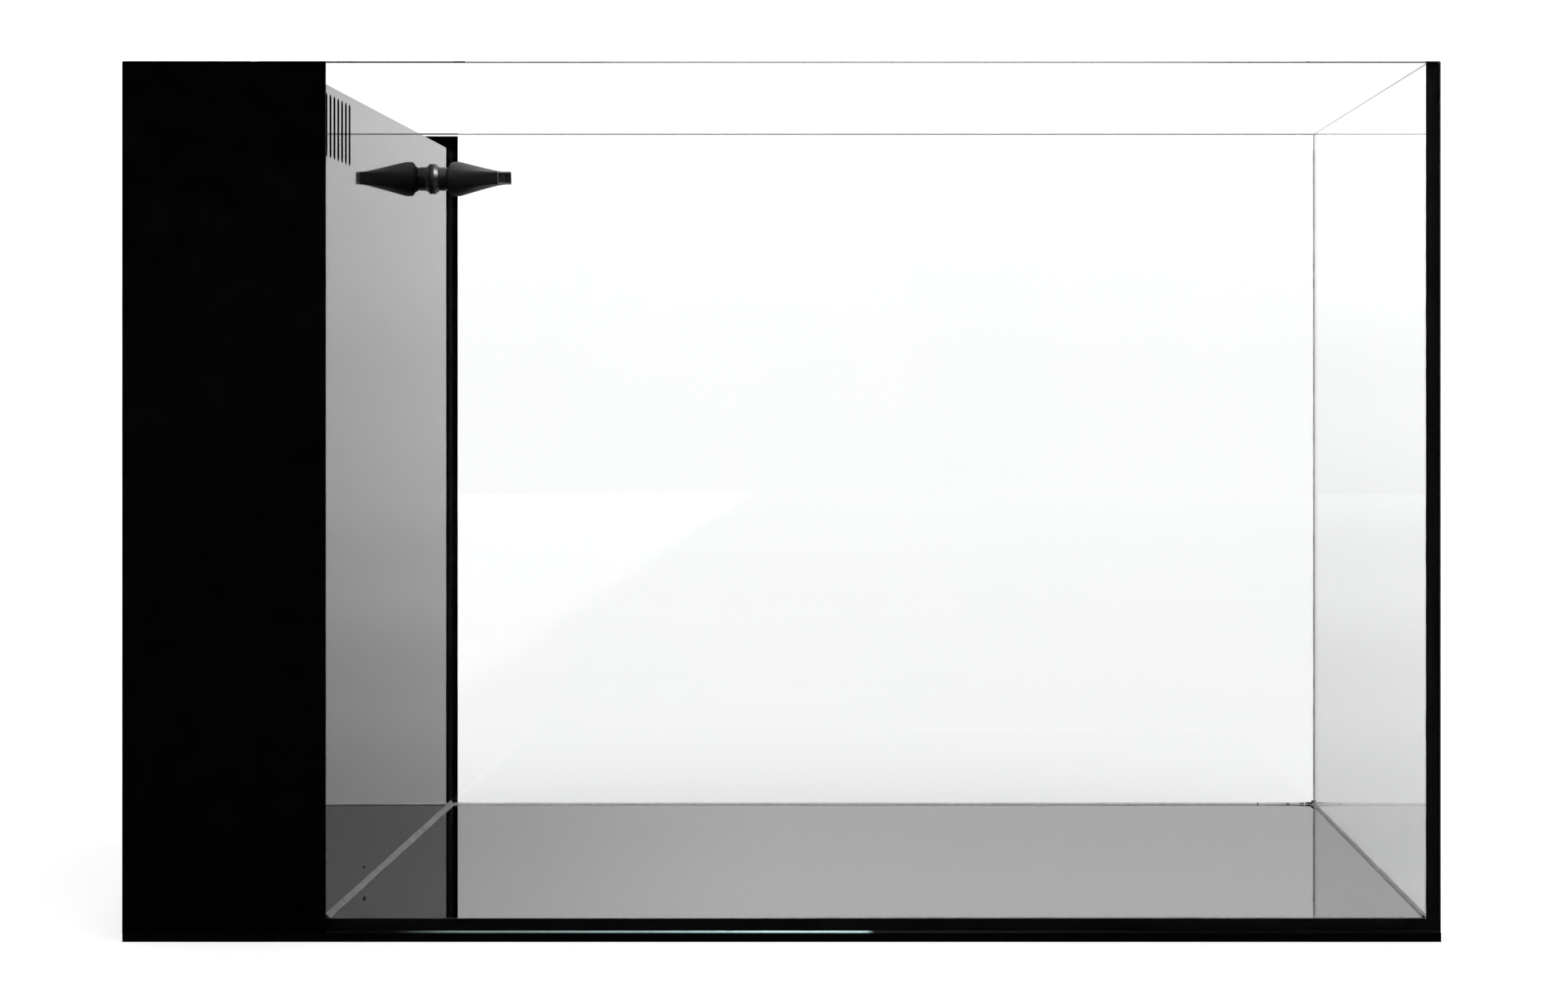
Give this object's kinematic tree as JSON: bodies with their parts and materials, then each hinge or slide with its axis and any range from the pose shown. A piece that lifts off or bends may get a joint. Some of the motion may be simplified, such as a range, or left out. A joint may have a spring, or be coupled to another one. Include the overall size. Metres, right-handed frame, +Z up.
{
  "type": "rimless aquarium with side filter chamber",
  "caption": "Rimless clear glass aquarium on a foam mat, with a black end filter chamber, surface slots, swivelling return nozzle, sock, media basket and return pump.",
  "frame": {"origin": "on the ground, under the middle of the tank's footprint", "axes": "+X towards the clear right end, -Y towards the front, +Z up; the filter chamber is at the -X end"},
  "size_m": [0.6002, 0.4002, 0.401],
  "materials": {
    "foam": "matte closed-cell foam",
    "glass": "polished clear float glass with ground bevels",
    "black_silicone": "satin cured silicone",
    "clear_silicone": "translucent cured silicone",
    "black_film": "smooth satin vinyl film",
    "black_acrylic": "polished black acrylic sheet",
    "white_plastic": "moulded satin plastic",
    "felt": "needled polyester felt",
    "basket_plastic": "moulded satin plastic",
    "mesh_bag": "knitted mesh filled with ceramic rings",
    "sponge": "open-cell filter foam",
    "floss": "loose polyester wadding",
    "pump_plastic": "moulded satin plastic",
    "impeller_plastic": "moulded satin plastic",
    "steel": "brushed stainless steel",
    "copper": "enamelled copper winding",
    "ceramic": "ground ceramic",
    "rubber": "satin moulded rubber",
    "hose": "smooth flexible hose",
    "black_plastic": "satin moulded plastic"
  },
  "bodies": {
    "tank": {"leveling_mat": "foam", "bottom_pane": "glass", "front_pane": "glass", "back_pane": "glass", "left_pane": "glass", "right_pane": "glass", "bottom_seam": "black_silicone", "corner_seams": "black_silicone", "front_film": "black_film", "back_film": "black_film", "left_film": "black_film", "floor_bead": "clear_silicone", "corner_beads": "clear_silicone", "partition": "black_acrylic", "partition_bead": "black_silicone", "intake_baffle": "black_acrylic", "weir_baffle": "black_acrylic", "baffle_beads": "black_silicone", "sock_ledges": "black_acrylic", "basket_ledges": "black_acrylic", "pump_motor": "pump_plastic", "stator_core": "steel", "stator_coils": "copper", "pump_volute": "pump_plastic", "impeller_shaft": "ceramic", "shaft_bushes": "rubber", "inlet_strainer": "pump_plastic", "pump_base": "pump_plastic", "suction_cups": "rubber", "cable_gland": "rubber", "return_hose": "hose", "hose_clamps": "steel", "outlet_elbow": "black_plastic", "bulkhead": "black_plastic", "bulkhead_gasket": "rubber", "bulkhead_nut": "black_plastic"},
    "sock_tray": {"sock_tray": "black_acrylic"},
    "sock": {"sock_ring": "white_plastic", "filter_sock": "felt"},
    "basket": {"media_basket": "basket_plastic"},
    "low_tray": {"lower_tray": "basket_plastic", "media_bag": "mesh_bag"},
    "mid_tray": {"middle_tray": "basket_plastic", "sponge_block": "sponge"},
    "top_tray": {"upper_tray": "basket_plastic", "floss_pad": "floss"},
    "impeller": {"impeller": "impeller_plastic"},
    "dial": {"flow_dial": "impeller_plastic"},
    "stub": {"ball_stub": "black_plastic"},
    "nozzle": {"flare_nozzle": "black_plastic"}
  },
  "joints": [
    {"name": "sock_tray_lift", "type": "slide", "parent": "tank", "child": "sock_tray", "axis": [0, 0, 1], "range_m": [0, 0.24]},
    {"name": "sock_lift", "type": "slide", "parent": "sock_tray", "child": "sock", "axis": [0, 0, 1], "range_m": [0, 0.18]},
    {"name": "basket_lift", "type": "slide", "parent": "tank", "child": "basket", "axis": [0, 0, 1], "range_m": [0, 0.35]},
    {"name": "lower_tray_lift", "type": "slide", "parent": "basket", "child": "low_tray", "axis": [0, 0, 1], "range_m": [0, 0.25]},
    {"name": "middle_tray_lift", "type": "slide", "parent": "low_tray", "child": "mid_tray", "axis": [0, 0, 1], "range_m": [0, 0.16]},
    {"name": "upper_tray_lift", "type": "slide", "parent": "mid_tray", "child": "top_tray", "axis": [0, 0, 1], "range_m": [0, 0.09]},
    {"name": "impeller_spin", "type": "hinge", "parent": "tank", "child": "impeller", "pos_m": [-0.2538, 0.127, 0.049], "axis": [0, 1, 0], "continuous": true},
    {"name": "dial_turn", "type": "hinge", "parent": "tank", "child": "dial", "pos_m": [-0.2538, 0.0915, 0.049], "axis": [0, 1, 0], "range_deg": [0, 90]},
    {"name": "stub_turn", "type": "hinge", "parent": "tank", "child": "stub", "pos_m": [-0.195, 0.127, 0.3697], "axis": [1, 0, 0], "range_deg": [-90, 90]},
    {"name": "nozzle_tilt", "type": "hinge", "parent": "stub", "child": "nozzle", "pos_m": [-0.195, 0.127, 0.3697], "axis": [0, 0, 1], "range_deg": [-4, 36]}
  ]
}
